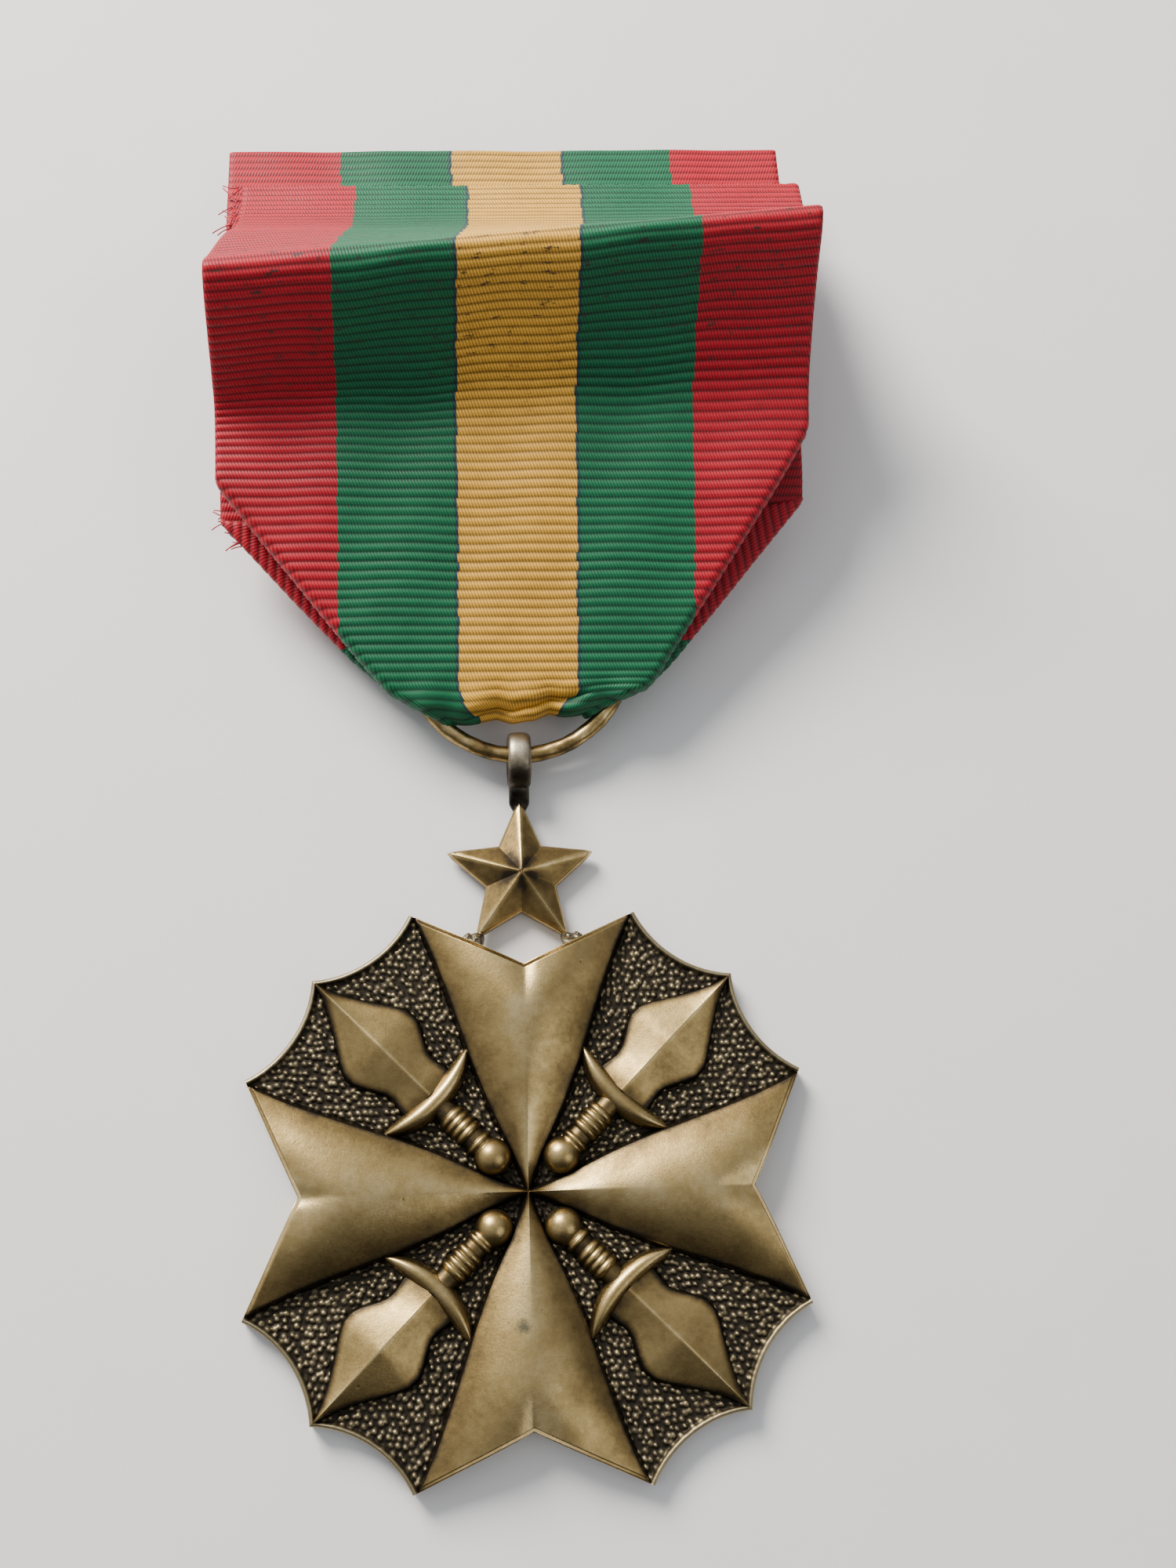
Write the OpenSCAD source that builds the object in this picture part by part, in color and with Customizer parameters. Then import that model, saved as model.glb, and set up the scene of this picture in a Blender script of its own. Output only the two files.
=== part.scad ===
// Cross-shaped service medal on a folded five-stripe ribbon, lying face up.
// +Z is the face of the medal, +Y runs from the badge to the top of the ribbon.
// The origin is on the resting surface, under the middle of the medal's outline.

/* [Badge] */
// Radius of the circle through the twelve outer points
tip_r = 18.94; // [17.5:0.1:22.8]
// Distance from the centre to the notch at the end of each arm
notch_r = 14.1; // [12.5:0.1:14.8]
// Thickness of the grained ground between the arms
ground_t = 1.3; // [0.8:0.1:2]
// Depth of the hollow scallops between neighbouring points
scallop_depth = 1.0; // [0.5:0.1:1.4]
// Width of the raised rim along the scallops
rim_w = 0.4; // [0.25:0.05:0.8]
// Height of the raised rim above the ground
rim_h = 0.55; // [0.3:0.05:0.9]
// Height of the straight edge of the arms above the ground
arm_edge_h = 0.55; // [0.3:0.05:0.9]
// Height of the arm ridges above the ground
arm_ridge_h = 1.75; // [1:0.05:2.4]

/* [Swords] */
// Distance from the badge's centre to the foot of each pommel
sword_start = 1.9; // [1.6:0.05:2.3]
// Widest half-width of the leaf blade
blade_half_w = 3.0; // [2:0.1:3.4]
// Height of the blade's ridge above the ground
blade_ridge_h = 1.15; // [0.7:0.05:1.8]
// Radius of the grip
grip_r = 0.8; // [0.55:0.05:1]
// Radius of the pommel
pommel_r = 1.15; // [0.8:0.05:1.2]

/* [Star and eyelet] */
// Distance from the star's centre to its points
star_r = 5.15; // [4.6:0.05:6]
// Height of the star's peak over its flat back
star_t = 2.1; // [1.5:0.1:3]
// Outside diameter of the eyelet
eyelet_d = 3.7; // [3.4:0.1:4]
// Thickness of the eyelet across the ring wire
eyelet_w = 1.5; // [1.1:0.1:1.8]

/* [Ring] */
// Outside diameter of the suspension ring
ring_d = 15.5; // [14.5:0.1:19]
// Diameter of the ring wire
wire_d = 1.1; // [0.9:0.05:1.35]
// Clearance between the ring wire and the top of the eyelet's hole
wire_play = 0.1; // [0.05:0.01:0.2]
// Slope of the ring as it lies between the two halves of the ribbon
ring_slope = 15; // [10:1:17]

/* [Ribbon] */
// Width of the ribbon
ribbon_w = 38.5; // [32:0.5:46.5]
// Thickness of the woven cloth
cloth_t = 0.4; // [0.3:0.05:0.5]
// Width that the tucked corners leave over the ring
neck_w = 12.8; // [11.5:0.1:15]
// Length of the drape below the flex line, measured from the ring wire
drape_l = 17.6; // [16.8:0.1:21]
// Height of the ribbon's crown over the resting surface
crown_h = 16.6; // [13.5:0.1:20]
// Length from the flex line to the ribbon's upper end
crown_l = 26; // [23.5:0.5:31]
// Clearance between the layers of cloth and the ring
layer_gap = 0.12; // [0.1:0.01:0.25]

/* [Brooch] */
// Length of the brooch bar
bar_l = 32; // [24:0.5:32]
// Width of the brooch bar
bar_w = 5.5; // [4.6:0.1:6.5]
// Thickness of the brooch bar
bar_t = 0.7; // [0.5:0.05:0.9]
// Radius of the pin needle
needle_r = 0.42; // [0.35:0.01:0.5]
// Radius of the hinge rivet
rivet_r = 0.45; // [0.38:0.01:0.55]
// Running clearance round the hinge rivet
rivet_play = 0.06; // [0.03:0.01:0.1]

/* [Hidden] */
$fn = 48;

brass = [0.56, 0.47, 0.28];
steel = [0.62, 0.60, 0.54];
red = [0.78, 0.12, 0.18];
green = [0.1, 0.47, 0.3];
yellow = [0.88, 0.69, 0.28];

// Badge: the arm tips stand either side of each axis, the sword tips on the diagonals
tip_angle = 22.5;
tip_x = tip_r * sin(tip_angle);
tip_y = tip_r * cos(tip_angle);
scallop_half = tip_r * sin(tip_angle / 2);
scallop_r = (scallop_half * scallop_half + scallop_depth * scallop_depth) / (2 * scallop_depth);
scallop_c = tip_r * cos(tip_angle / 2) + scallop_r - scallop_depth;
// Half-widths of an arm at a third and at a little over half of its length
arm_mid = [2.2, 4.9];
arm_shoulder = [4.25, 9.8];
ridge_foot_y = 5;
ridge_top_y = 10.5;

// Star: its two feet stand on the V of the top arm
star_point_step = 72;
star_inner_r = star_r * 0.466;
foot_drop = star_r * cos(star_point_step / 2);
foot_x = star_r * sin(star_point_step / 2);
v_slope = (tip_y - notch_r) / tip_x;
foot_gap = 0.4;
star_y = notch_r + v_slope * foot_x + foot_gap + foot_drop;
star_back_z = 0.45;
star_edge_t = 0.75;
solder_r = 0.62;

// Eyelet and ring: the wire lies high in the eyelet's hole
wire_r = wire_d / 2;
ring_r = ring_d / 2 - wire_r;
eyelet_r = eyelet_d / 2;
hole_r = 1.0;
hinge_z = eyelet_r + 0.05;
neck_y = star_y + star_r - 0.85;
neck_l = 1.35;
eyelet_y = neck_y + neck_l + eyelet_r;
wire_y = eyelet_y + hole_r - wire_r - wire_play;

// Layers of cloth over and under the ring, measured square to the ring's plane
tuck_w = wire_r + layer_gap;
drape_w = tuck_w + cloth_t + layer_gap;
half_w = ribbon_w / 2;
half_neck = neck_w / 2;
// The tucked edge rises at this angle from the ribbon's cross direction
tuck_angle = 51;
tuck_top = 2.3 + (half_w - half_neck) * tan(tuck_angle);
drape_foot = 2.3;
loop_half = ribbon_w / 10 - 0.05;
loop_v = drape_w + cloth_t + 2.2;

// Flex line, where the lower drape bends against the sewn upper part
flex_v = drape_l + 0.7;
flex_y = wire_y + flex_v * cos(ring_slope);
flex_z = hinge_z + flex_v * sin(ring_slope);
flex_gap = 0.6;

// Height of the tail's middle over the flex line, where it is sewn down and at its end
tail_z = 0.1 - drape_w;
tail_end_z = tail_z - 2.3;

// Brooch under the upper part, which lifts the ribbon off the surface
bar_z = flex_z + tail_z - cloth_t / 2;
bar_y = flex_y + 8.5;
pivot_z = 1.6;
pivot_x = -bar_l / 2 + 2.5;
ear_t = 0.6;
eye_w = 1.4;
ear_gap = 0.08;
eye_r = 1.15;
ear_r = pivot_z;
needle_y = bar_y;
catch_x = bar_l / 2 - 2.5;
catch_w = 2;

// Overall length, which places the origin
top_y = flex_y + crown_l;
mid_y = (top_y - tip_y) / 2;

// Moves a shape from the badge's centre to the part's origin
module placed() { translate([0, -mid_y, 0]) children(); }

// The plane of the ring: its origin is on the wire's lowest point, its Y runs up the ribbon
module on_ring_plane() {
    translate([0, wire_y, hinge_z]) rotate([ring_slope, 0, 0]) children();
}

// ---- Badge ----

module badge_outline() {
    difference() {
        polygon([for (i = [0:3]) for (p = [[0, notch_r], [-tip_angle, tip_r],
                [-2 * tip_angle, tip_r], [-3 * tip_angle, tip_r]])
                let (a = 90 + p[0] - 90 * i) [p[1] * cos(a), p[1] * sin(a)]]);
        for (i = [0:7]) rotate(tip_angle * 1.5 + 45 * i - (i % 2 == 0 ? 0 : tip_angle))
            translate([scallop_c, 0]) circle(scallop_r);
    }
}

module scallop_bands() {
    for (i = [0:7]) rotate(tip_angle * 1.5 + 45 * i - (i % 2 == 0 ? 0 : tip_angle))
        translate([scallop_c, 0]) circle(scallop_r + rim_w);
}

module ground_plate() {
    color(brass) placed() union() {
        linear_extrude(ground_t) badge_outline();
        linear_extrude(ground_t + rim_h) difference() {
            intersection() {
                badge_outline();
                scallop_bands();
            }
            for (i = [0:3]) rotate(90 * i) arm_outline();
        }
    }
}

module arm_outline() {
    polygon([[0, 0], arm_mid, arm_shoulder, [tip_x, tip_y], [0, notch_r],
             [-tip_x, tip_y], [-arm_shoulder[0], arm_shoulder[1]], [-arm_mid[0], arm_mid[1]]]);
}

// One pillow-shaped arm, from its straight edge up to its ridge
module arm() {
    edge = [[0, 0], arm_mid, arm_shoulder, [tip_x, tip_y], [0, notch_r],
            [-tip_x, tip_y], [-arm_shoulder[0], arm_shoulder[1]], [-arm_mid[0], arm_mid[1]]];
    count = len(edge);
    top_z = ground_t + arm_edge_h;
    points = concat([for (p = edge) [p[0], p[1], ground_t]],
                    [for (p = edge) [p[0], p[1], top_z]],
                    [[0, ridge_foot_y, top_z + (arm_ridge_h - arm_edge_h) * 0.6],
                     [0, ridge_top_y, ground_t + arm_ridge_h]]);
    low = 2 * count;
    high = low + 1;
    sides = [for (i = [0:count - 1]) let (j = (i + 1) % count) [i, i + count, j + count, j]];
    roof = [[0, 7, low], [7, 6, low], [6, high, low], [6, 5, high], [5, 4, high],
            [4, 3, high], [3, 2, high], [2, low, high], [2, 1, low], [1, 0, low]];
    polyhedron(points, concat([[for (i = [0:count - 1]) i]], sides,
               [for (f = roof) [for (v = f) v < count ? v + count : v]]));
}

module maltese_cross() {
    color(brass) placed() union() {
        for (i = [0:3]) rotate(90 * i) arm();
        // The arms run together in a small four-sided boss
        translate([0, 0, ground_t]) linear_extrude(arm_edge_h) square(0.9, center = true);
    }
}

// ---- Swords, drawn along +Y from the badge's centre ----

// A gable running along +Y, with its ridge over the line x = 0
module gable(ridge_h, edge_h, half_span, length) {
    rotate([90, 0, 0]) mirror([0, 0, 1]) linear_extrude(length)
        polygon([[-half_span, -1], [half_span, -1], [half_span, edge_h], [0, ridge_h],
                 [-half_span, edge_h]]);
}

module blade() {
    w = blade_half_w;
    heel_y = 8.7;
    widest_y = 12.9;
    right = [[2.1, heel_y], [2.0, 10.5], [w * 0.8, 11.5], [w * 0.97, 12.2], [w, widest_y],
             [w * 0.93, 13.8], [1.65, 15.5], [0.55, 17.5]];
    last = len(right) - 1;
    blade_edge_h = 0.35;
    tip_fall = 5.5;
    translate([0, 0, ground_t]) intersection() {
        linear_extrude(blade_ridge_h + 1) polygon(concat(right, [[0, tip_r - 0.35]],
            [for (i = [last:-1:0]) [-right[i][0], right[i][1]]]));
        gable(blade_ridge_h, blade_edge_h, w + 0.1, tip_r + 5);
        // Past its widest place the ridge falls towards the point
        translate([0, widest_y, 0]) rotate([-tip_fall, 0, 0]) translate([0, -widest_y, 0])
            gable(blade_ridge_h, blade_edge_h, w + 0.1, tip_r + 5);
    }
}

module guard() {
    // Crescent between two arcs, with rounded ends
    translate([0, 0, ground_t]) linear_extrude(1.05) union() {
        difference() {
            translate([0, 13.2]) circle(5.95);
            translate([0, 16.35]) circle(7.55);
            translate([-10, 9.2]) square(20);
        }
        for (side = [-1, 1]) translate([side * 3.55, 8.95]) circle(0.38);
    }
}

module hilt() {
    // Turned grip with rings, collar and ball pommel, cut off at the ground
    ring_pitch = 0.48;
    ring_step = 0.16;
    first_ring = 5.1;
    pommel_at = sword_start + pommel_r;
    collar_at = sword_start + 2 * pommel_r - 0.45;
    intersection() {
        translate([0, 0, ground_t + 0.15]) rotate([-90, 0, 0]) rotate_extrude() union() {
            intersection() {
                translate([0, pommel_at]) circle(pommel_r);
                square([2 * pommel_r, pommel_at + 2 * pommel_r]);
            }
            translate([0, pommel_at]) square([grip_r, 7.4 - pommel_at]);
            translate([0, collar_at]) square([grip_r + ring_step, 0.42]);
            for (i = [0:3]) translate([0, first_ring + ring_pitch * i])
                square([grip_r + ring_step, ring_pitch * 0.6]);
        }
        translate([-3, 0, ground_t]) cube([6, 9, 3]);
    }
}

// The tips of the guard end at the walls of the neighbouring arms
module sword(turn) {
    color(brass) placed() difference() {
        rotate(turn) union() {
            blade();
            guard();
            hilt();
        }
        for (i = [0:3]) rotate(90 * i) linear_extrude(ground_t + arm_ridge_h + 1) arm_outline();
    }
}

// ---- Star and eyelet ----

// The top point is cut off square where the eyelet's neck stands on it
module star_body() {
    left = star_y + star_r - neck_y;
    cut_x = left * star_inner_r * sin(36) / (star_r - star_inner_r * cos(36));
    cut_ridge = star_edge_t + (star_t - star_edge_t) * left / star_r;
    ring = concat([[cut_x, neck_y], [-cut_x, neck_y]],
                  [for (i = [1:9]) let (a = 90 + 36 * i, r = i % 2 == 0 ? star_r : star_inner_r)
                   [r * cos(a), star_y + r * sin(a)]]);
    count = len(ring);
    peak = 2 * count;
    cut_top = peak + 1;
    points = concat([for (p = ring) [p[0], p[1], star_back_z]],
                    [for (p = ring) [p[0], p[1], star_back_z + star_edge_t]],
                    [[0, star_y, star_back_z + star_t], [0, neck_y, star_back_z + cut_ridge]]);
    polyhedron(points, concat([[for (i = [0:count - 1]) i]],
               [for (i = [1:count - 1]) let (j = (i + 1) % count) [i, i + count, j + count, j]],
               [[0, count, cut_top, count + 1, 1]],
               [[peak, cut_top, count], [count + 1, cut_top, peak]],
               [for (i = [1:count - 1]) [peak, (i + 1) % count + count, i + count]]));
}

module star() { color(brass) placed() star_body(); }

module star_solder() {
    color(steel) placed() difference() {
        for (side = [-1, 1]) translate([side * (foot_x + 0.05), star_y - foot_drop - 0.15, star_back_z])
            cylinder(r1 = solder_r, r2 = solder_r * 0.7, h = 1.2);
        star_body();
        translate([0, 0, -1]) linear_extrude(ground_t + arm_ridge_h + 1) badge_outline();
    }
}

module eyelet() {
    color(steel) placed() difference() {
        translate([-eyelet_w / 2, 0, 0]) union() {
            translate([0, eyelet_y, hinge_z]) rotate([0, 90, 0]) cylinder(r = eyelet_r, h = eyelet_w);
            translate([0.15, neck_y, star_back_z]) cube([eyelet_w - 0.3, neck_l + 0.5, 1.6]);
        }
        translate([-eyelet_w, eyelet_y, hinge_z]) rotate([0, 90, 0])
            cylinder(r = hole_r, h = 2 * eyelet_w);
    }
}

module suspension_ring() {
    color(brass) placed() on_ring_plane() translate([0, ring_r, 0])
        rotate_extrude($fn = 96) translate([ring_r, 0]) circle(wire_r);
}

// ---- Ribbon below the flex line ----

// Outline of one tucked half of the ribbon on the ring's plane
module drape_outline() {
    difference() {
        polygon([[-half_neck, drape_foot], [half_neck, drape_foot], [half_w, tuck_top],
                 [half_w, tuck_top + 20], [-half_w, tuck_top + 20], [-half_w, tuck_top]]);
        translate([-half_w - 1, drape_l]) square([ribbon_w + 2, 30]);
        translate([-loop_half, 0]) square([2 * loop_half, loop_v]);
    }
}

// A tucked corner is the cut-off triangle mirrored over its fold
module tuck_outline() {
    across = 2 * tuck_angle;
    lap = half_w - half_neck;
    for (side = [0, 1]) mirror([side, 0]) difference() {
        polygon([[half_neck + 0.3, drape_foot + 0.3], [half_w - 0.3, tuck_top],
                 [half_neck + lap * cos(180 - across), drape_foot + lap * sin(across)]]);
        translate([0, drape_l]) square([half_w + 1, 30]);
        translate([-1, 0]) square([1 + layer_gap, 40]);
    }
}

module ribbon_front_drape() {
    color(red) placed() on_ring_plane() translate([0, 0, drape_w])
        linear_extrude(cloth_t) drape_outline();
}

module ribbon_back_drape() {
    color(red) placed() on_ring_plane() translate([0, 0, -drape_w - cloth_t])
        linear_extrude(cloth_t) drape_outline();
}

module ribbon_front_tucks() {
    color(green) placed() on_ring_plane() translate([0, 0, tuck_w])
        linear_extrude(cloth_t) tuck_outline();
}

module ribbon_back_tucks() {
    color(green) placed() on_ring_plane() translate([0, 0, -tuck_w - cloth_t])
        linear_extrude(cloth_t) tuck_outline();
}

module ribbon_ring_loop() {
    color(yellow) placed() on_ring_plane() translate([-loop_half, loop_v, 0])
        rotate([90, 0, 90]) linear_extrude(2 * loop_half) difference() {
            circle(drape_w + cloth_t);
            circle(drape_w);
            translate([0, -10]) square(20);
        }
}

// ---- Ribbon above the flex line ----

// Middle lines of the cloth, as [along, height] from the flex line
crown_start = [flex_gap, drape_w + cloth_t + 0.2];
crown_line = [crown_start, [4.4, (crown_h - flex_z) * 0.45], [7.8, (crown_h - flex_z) * 0.82],
              [10.3, crown_h - flex_z - cloth_t / 2], [12.6, (crown_h - flex_z) * 0.84],
              [15.8, (crown_h - flex_z) * 0.36], [crown_l - 5.6, tail_end_z + 2.3],
              [crown_l - 4.2, tail_end_z + 1.5]];
tail_line = [[flex_gap, tail_z - 0.15], [3.5, tail_z], [bar_y - flex_y + bar_w / 2 + 1, tail_z],
             [crown_l - 8, (tail_z + tail_end_z) / 2 + 0.3], [crown_l - 4.2, tail_end_z + 0.85],
             [crown_l, tail_end_z]];

// A strip of cloth that follows a middle line, as flat runs with square ends
module cloth_strip(line) {
    offsets = [for (i = [0:len(line) - 1]) let (
        a = line[max(i - 1, 0)], b = line[min(i + 1, len(line) - 1)],
        d = [b[0] - a[0], b[1] - a[1]], n = norm(d)) [-d[1] / n, d[0] / n] * cloth_t / 2];
    translate([-half_w, flex_y, flex_z]) rotate([90, 0, 90]) linear_extrude(ribbon_w)
        polygon(concat([for (i = [0:len(line) - 1]) line[i] + offsets[i]],
                       [for (i = [len(line) - 1:-1:0]) line[i] - offsets[i]]));
}

module ribbon_crown() { color(green) placed() cloth_strip(crown_line); }

module ribbon_tail() { color(red) placed() cloth_strip(tail_line); }

// Thread that closes the crown's lower end on the tail
module closing_seam() {
    stitch_l = 1.2;
    stitch_pitch = 2.2;
    stitch_along = crown_l - 4.25;
    stitch_count = floor((ribbon_w - 4) / stitch_pitch);
    color(red) placed() difference() {
        for (i = [0:stitch_count - 1])
            translate([(i - (stitch_count - 1) / 2) * stitch_pitch - stitch_l / 2,
                       flex_y + stitch_along, flex_z + tail_end_z + 1.18])
                rotate([0, 90, 0]) cylinder(r = 0.25, h = stitch_l);
        cloth_strip(crown_line);
        cloth_strip(tail_line);
    }
}

// ---- Brooch ----

module brooch_bar() {
    corner_r = 0.8;
    color(steel) placed() translate([0, bar_y, bar_z - bar_t]) linear_extrude(bar_t) union() {
        square([bar_l, bar_w - 2 * corner_r], center = true);
        square([bar_l - 2 * corner_r, bar_w], center = true);
        for (x = [-1, 1]) for (y = [-1, 1])
            translate([x * (bar_l / 2 - corner_r), y * (bar_w / 2 - corner_r)]) circle(corner_r);
    }
}

// Threads lashed round the bar, which sew it to the underside of the tail
module brooch_stitches() {
    thread_t = 0.3;
    lash_pitch = 0.5;
    color(red) placed() for (side = [-1, 1]) for (k = [-1, 0, 1])
        translate([side * bar_l / 5 + lash_pitch * k - thread_t / 2, bar_y, bar_z])
            rotate([90, 0, 90]) linear_extrude(thread_t) difference() {
                translate([-bar_w / 2 - thread_t, -bar_t - thread_t])
                    square([bar_w + 2 * thread_t, bar_t + thread_t]);
                translate([-bar_w / 2, -bar_t]) square([bar_w, bar_t + 1]);
            }
}

module pin_hinge() {
    color(steel) placed() difference() {
        union() {
            for (side = [-1, 1]) translate([pivot_x, bar_y + side * (eye_w / 2 + ear_gap + ear_t / 2), 0])
                rotate([90, 0, 0]) linear_extrude(ear_t, center = true) union() {
                    translate([0, pivot_z]) circle(ear_r);
                    translate([-ear_r, pivot_z]) square([2 * ear_r, bar_z - bar_t - pivot_z]);
                }
            translate([pivot_x - ear_r, bar_y - eye_w / 2 - ear_gap - ear_t, bar_z - bar_t - ear_t])
                cube([2 * ear_r, eye_w + 2 * (ear_gap + ear_t), ear_t]);
        }
        translate([pivot_x, bar_y, pivot_z]) rotate([90, 0, 0])
            cylinder(r = rivet_r, h = 10, center = true);
    }
}

module hinge_rivet() {
    rivet_l = eye_w + 2 * (ear_gap + ear_t);
    color(steel) placed() translate([pivot_x, bar_y, pivot_z]) rotate([90, 0, 0]) union() {
        cylinder(r = rivet_r, h = rivet_l, center = true);
        for (side = [0, 1]) mirror([0, 0, side]) translate([0, 0, rivet_l / 2])
            cylinder(r1 = rivet_r + 0.3, r2 = rivet_r + 0.1, h = 0.3);
    }
}

// A hooked strip: the needle lies on its inner side, and its lip curls beside the needle
module pin_catch() {
    wall = 0.5;
    inner = needle_r + 0.1;
    color(steel) placed() translate([catch_x - catch_w / 2, needle_y, 0]) rotate([90, 0, 90])
        linear_extrude(catch_w) union() {
            translate([inner, pivot_z]) square([wall, bar_z - bar_t - pivot_z]);
            difference() {
                translate([inner + wall, pivot_z]) circle(pivot_z);
                translate([inner + wall, pivot_z]) circle(pivot_z - wall);
                translate([-10, pivot_z]) square(20);
                translate([-10 + inner, -10]) square([10, 20]);
            }
            translate([inner, 0]) square([wall, pivot_z]);
        }
}

module pin_needle() {
    point_l = 3;
    needle_l = catch_x + catch_w / 2 + 0.6 - pivot_x;
    color(steel) placed() translate([pivot_x, needle_y, pivot_z]) difference() {
        union() {
            rotate([90, 0, 0]) cylinder(r = eye_r, h = eye_w, center = true);
            rotate([0, 90, 0]) cylinder(r = needle_r, h = needle_l - point_l);
            translate([needle_l - point_l, 0, 0]) rotate([0, 90, 0])
                cylinder(r1 = needle_r, r2 = 0.05, h = point_l);
        }
        rotate([90, 0, 0]) cylinder(r = rivet_r + rivet_play, h = 10, center = true);
    }
}

ground_plate();
maltese_cross();
sword(-45);  // sword_upper_right
sword(45);  // sword_upper_left
sword(135);  // sword_lower_left
sword(-135);  // sword_lower_right
star();
star_solder();
eyelet();
suspension_ring();
ribbon_ring_loop();
ribbon_front_drape();
ribbon_back_drape();
ribbon_front_tucks();
ribbon_back_tucks();
ribbon_crown();
ribbon_tail();
closing_seam();
brooch_bar();
brooch_stitches();
pin_hinge();
hinge_rivet();
pin_catch();
pin_needle();
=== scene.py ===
"""Visual model of a cross-shaped service medal on a folded five-stripe ribbon."""
import math
import bpy
import numpy as np
from mathutils import Matrix, Vector


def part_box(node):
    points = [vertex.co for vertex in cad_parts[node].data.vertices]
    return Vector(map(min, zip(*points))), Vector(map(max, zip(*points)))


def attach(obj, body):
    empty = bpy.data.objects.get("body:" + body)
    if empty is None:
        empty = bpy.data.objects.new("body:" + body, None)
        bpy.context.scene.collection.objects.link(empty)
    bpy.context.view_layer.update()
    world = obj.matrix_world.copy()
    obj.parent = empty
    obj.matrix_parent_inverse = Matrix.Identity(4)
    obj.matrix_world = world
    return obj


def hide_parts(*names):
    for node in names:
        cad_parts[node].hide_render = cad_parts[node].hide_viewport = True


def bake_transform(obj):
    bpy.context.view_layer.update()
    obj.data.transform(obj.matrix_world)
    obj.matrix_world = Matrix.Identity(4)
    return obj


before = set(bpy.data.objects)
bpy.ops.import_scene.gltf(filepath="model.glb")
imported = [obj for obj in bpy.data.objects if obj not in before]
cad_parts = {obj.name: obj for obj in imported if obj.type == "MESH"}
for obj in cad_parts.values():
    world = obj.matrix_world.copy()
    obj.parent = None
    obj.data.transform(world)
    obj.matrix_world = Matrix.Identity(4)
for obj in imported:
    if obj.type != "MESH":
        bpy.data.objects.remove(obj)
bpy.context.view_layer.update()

MM = 0.001
rng = np.random.default_rng(7)

# ---- Sizes in millimetres, as in the CAD model ----
TIP_R, NOTCH_R = 18.94, 14.1
TIP_STEP = math.radians(22.5)
TIP_X, TIP_Y = TIP_R * math.sin(TIP_STEP), TIP_R * math.cos(TIP_STEP)
V_SLOPE = (TIP_Y - NOTCH_R) / TIP_X
SCALLOP_C, SCALLOP_R = 24.9026, 7.32655
GROUND_T = 1.3
STAR_R, STAR_INNER_R = 5.15, 2.4
STAR_BACK, STAR_EDGE, STAR_PEAK = 0.45, 1.2, 2.55
EYELET_R, EYELET_HOLE, EYELET_W = 1.85, 1.0, 1.5
WIRE_R, RING_R = 0.55, 7.2
RING_SLOPE = math.radians(15)
HALF_W, CLOTH_T = 19.25, 0.34
DRAPE_W, TUCK_DROP = 1.39, 0.52
LOOP_V = 3.79
RIB = 0.59


def middle(node):
    lo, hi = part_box(node)
    return (lo + hi) / 2 / MM


# Places along Y, measured up from the badge's centre
STAR_UP, EYELET_UP, WIRE_UP, FLEX_UP = 20.0857, 27.5857, 27.9357, 45.6122
BADGE_Y = middle("ground_plate").y
STAR_Y, EYELET_Y = BADGE_Y + STAR_UP, BADGE_Y + EYELET_UP
WIRE_Y, HINGE_Z = BADGE_Y + WIRE_UP, 1.9
FLEX_Y, FLEX_Z = BADGE_Y + FLEX_UP, 6.63639


# ---- Numeric helpers ----
def smooth(low, high, value):
    t = np.clip((value - low) / (high - low), 0, 1)
    return t * t * (3 - 2 * t)


TABLE_STEPS = 400
CRISP, SOFT = 21, 91


def profile(table, value, width=CRISP):
    """Looks value up in pairs of position and value, smoothed over width of the TABLE_STEPS."""
    at, out = np.array(table, dtype=float).T
    fine = np.linspace(at[0], at[-1], TABLE_STEPS)
    line = np.interp(fine, at, out)
    kernel = np.hanning(width + 2)[1:-1]
    padded = np.concatenate([2 * line[0] - line[width // 2:0:-1], line,
                             2 * line[-1] - line[-2:-width // 2 - 1:-1]])
    line = np.convolve(padded, kernel / kernel.sum(), mode="valid")
    return np.interp(value, fine, line)


def grid_faces(rows, columns, wrap=False, flip=False):
    """Quads of a grid whose points are numbered row by row."""
    last = columns if wrap else columns - 1
    r, c = np.meshgrid(np.arange(rows - 1) * columns, np.arange(last), indexing="ij")
    n = (c + 1) % columns
    quads = np.stack([r + c, r + n, r + columns + n, r + columns + c], -1).reshape(-1, 4)
    return (quads[:, ::-1] if flip else quads).tolist()


def ring_faces(rows, columns):
    """Quads of a grid that closes on itself both ways."""
    start = (rows - 1) * columns
    return grid_faces(rows, columns, wrap=True) + [
        [start + i, start + (i + 1) % columns, (i + 1) % columns, i] for i in range(columns)]


def fan(start, count, centre, flip=False):
    """Triangles from a closed ring of count points to one centre point."""
    faces = [[start + i, centre, start + (i + 1) % count] for i in range(count)]
    return [face[::-1] for face in faces] if flip else faces


def xyz(x, y, z):
    """One row of X, Y, Z for each point of a grid."""
    return np.stack(np.broadcast_arrays(x, y, z), -1).reshape(-1, 3)


def around(count):
    """Angles of count points evenly round a full turn."""
    return np.linspace(0, 2 * math.pi, count, endpoint=False)


def turned(points, angle):
    """Points turned about the vertical axis, counter-clockwise."""
    c, s = math.cos(angle), math.sin(angle)
    x, y = points[:, 0], points[:, 1]
    return np.stack([c * x - s * y, s * x + c * y, points[:, 2]], 1)


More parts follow.
